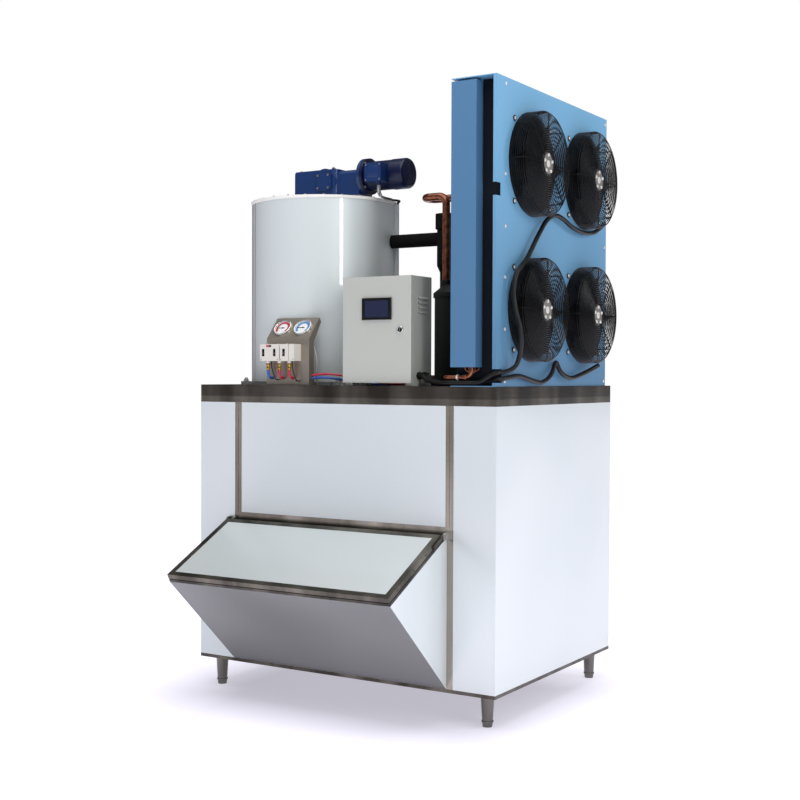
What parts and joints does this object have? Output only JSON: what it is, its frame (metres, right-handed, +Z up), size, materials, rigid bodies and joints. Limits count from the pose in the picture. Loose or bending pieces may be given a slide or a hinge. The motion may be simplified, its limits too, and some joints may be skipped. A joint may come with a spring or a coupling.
{
  "type": "flake ice machine",
  "caption": "Flake ice machine: freezing drum with gearmotor, compressor and fan condenser on an insulated stainless bin with a sloping front lid.",
  "frame": {"origin": "on the floor, under the middle of the machine's whole outline", "axes": "+X to the fan side (the machine's left-to-right as seen from its front), +Y to the back, +Z up"},
  "size_m": [1.278, 1.2886, 2.1],
  "materials": {
    "stainless_panel": "fine brushed stainless sheet",
    "polished_trim": "polished stainless strip",
    "dull_steel": "plain stainless",
    "black_rubber": "matt rubber and foam",
    "blue_gear_paint": "gloss enamel",
    "grey_box_paint": "fine textured powder coat",
    "dark_plastic": "moulded plastic",
    "screen": "gloss black",
    "bezel_chrome": "bright bezel with pale dial",
    "pale_plastic": "moulded plastic",
    "red_hose": "braided hose with brass ends",
    "black_paint": "satin black",
    "copper": "drawn copper tube",
    "blue_panel_paint": "satin powder coat",
    "coil_fins": "thin fins"
  },
  "bodies": {
    "machine": {"left_wall": "stainless_panel", "right_wall": "stainless_panel", "front_panel": "stainless_panel", "drum_jacket": "stainless_panel", "drum_cover": "stainless_panel", "back_wall": "stainless_panel", "hopper": "stainless_panel", "front_trim": "polished_trim", "top_rail": "polished_trim", "deck": "polished_trim", "base_frame": "polished_trim", "hopper_rim": "polished_trim", "legs": "polished_trim", "lid_ears": "polished_trim", "bin_floor": "dull_steel", "drum_base_ring": "dull_steel", "freezing_cylinder": "dull_steel", "bearing_bridge": "dull_steel", "gauge_bracket": "dull_steel", "water_tank": "dull_steel", "fan_motors": "dull_steel", "leveling_feet": "dull_steel", "suction_line": "black_rubber", "gear_housing": "blue_gear_paint", "gear_cover": "blue_gear_paint", "motor_body": "blue_gear_paint", "motor_cowl": "blue_gear_paint", "terminal_box": "blue_gear_paint", "box_body": "grey_box_paint", "switchgear": "dark_plastic", "fan_conduits": "dark_plastic", "motor_cable": "dark_plastic", "gauges": "bezel_chrome", "pressure_switches": "pale_plastic", "water_pipe": "pale_plastic", "hoses": "red_hose", "compressor": "black_paint", "fan_guards": "black_paint", "discharge_line": "copper", "liquid_line": "copper", "condenser_casing": "blue_panel_paint", "fan_panel": "blue_panel_paint", "header_cover": "blue_panel_paint", "coil": "coil_fins"},
    "lid": {"lid_panel": "stainless_panel", "lid_frame": "polished_trim", "lid_gasket": "black_rubber"},
    "rotor": {"main_shaft": "dull_steel", "water_pan": "dull_steel", "blade_arms": "dull_steel"},
    "blade": {"ice_blade": "dull_steel"},
    "door": {"box_door": "grey_box_paint", "touch_panel": "screen"},
    "lock": {"door_lock": "dull_steel"},
    "high_pointer": {"high_needle": "dark_plastic"},
    "low_pointer": {"low_needle": "dark_plastic"},
    "fan_1": {"fan_rotor_1": "dark_plastic"},
    "fan_2": {"fan_rotor_2": "dark_plastic"},
    "fan_3": {"fan_rotor_3": "dark_plastic"},
    "fan_4": {"fan_rotor_4": "dark_plastic"}
  },
  "joints": [
    {"name": "lid_hinge", "type": "hinge", "parent": "machine", "child": "lid", "pos_m": [-0.04, -0.30944, 0.61964], "axis": [-1, 0, 0], "range_deg": [0, 117]},
    {"name": "rotor_spin", "type": "hinge", "parent": "machine", "child": "rotor", "pos_m": [-0.359, 0.10231, 1.4], "axis": [0, 0, 1], "continuous": true},
    {"name": "blade_roll", "type": "hinge", "parent": "rotor", "child": "blade", "pos_m": [-0.1698, 0.10231, 1.4], "axis": [0, 0, 1], "continuous": true},
    {"name": "door_hinge", "type": "hinge", "parent": "machine", "child": "door", "pos_m": [-0.0325, -0.24569, 1.29], "axis": [0, 0, -1], "range_deg": [0, 110]},
    {"name": "lock_turn", "type": "hinge", "parent": "door", "child": "lock", "pos_m": [0.206, -0.26069, 1.294], "axis": [0, 1, 0], "range_deg": [0, 90]},
    {"name": "high_gauge_needle", "type": "hinge", "parent": "machine", "child": "high_pointer", "pos_m": [-0.318, -0.21634, 1.30934], "axis": [0, 0.766, -0.6428], "range_deg": [-45, 225]},
    {"name": "low_gauge_needle", "type": "hinge", "parent": "machine", "child": "low_pointer", "pos_m": [-0.23, -0.21634, 1.30934], "axis": [0, 0.766, -0.6428], "range_deg": [-45, 225]},
    {"name": "fan_1_spin", "type": "hinge", "parent": "machine", "child": "fan_1", "pos_m": [0.591, -0.02819, 1.844], "axis": [1, 0, 0], "continuous": true},
    {"name": "fan_2_spin", "type": "hinge", "parent": "machine", "child": "fan_2", "pos_m": [0.591, 0.39581, 1.844], "axis": [1, 0, 0], "continuous": true},
    {"name": "fan_3_spin", "type": "hinge", "parent": "machine", "child": "fan_3", "pos_m": [0.591, -0.02819, 1.36], "axis": [1, 0, 0], "continuous": true},
    {"name": "fan_4_spin", "type": "hinge", "parent": "machine", "child": "fan_4", "pos_m": [0.591, 0.39581, 1.36], "axis": [1, 0, 0], "continuous": true}
  ]
}
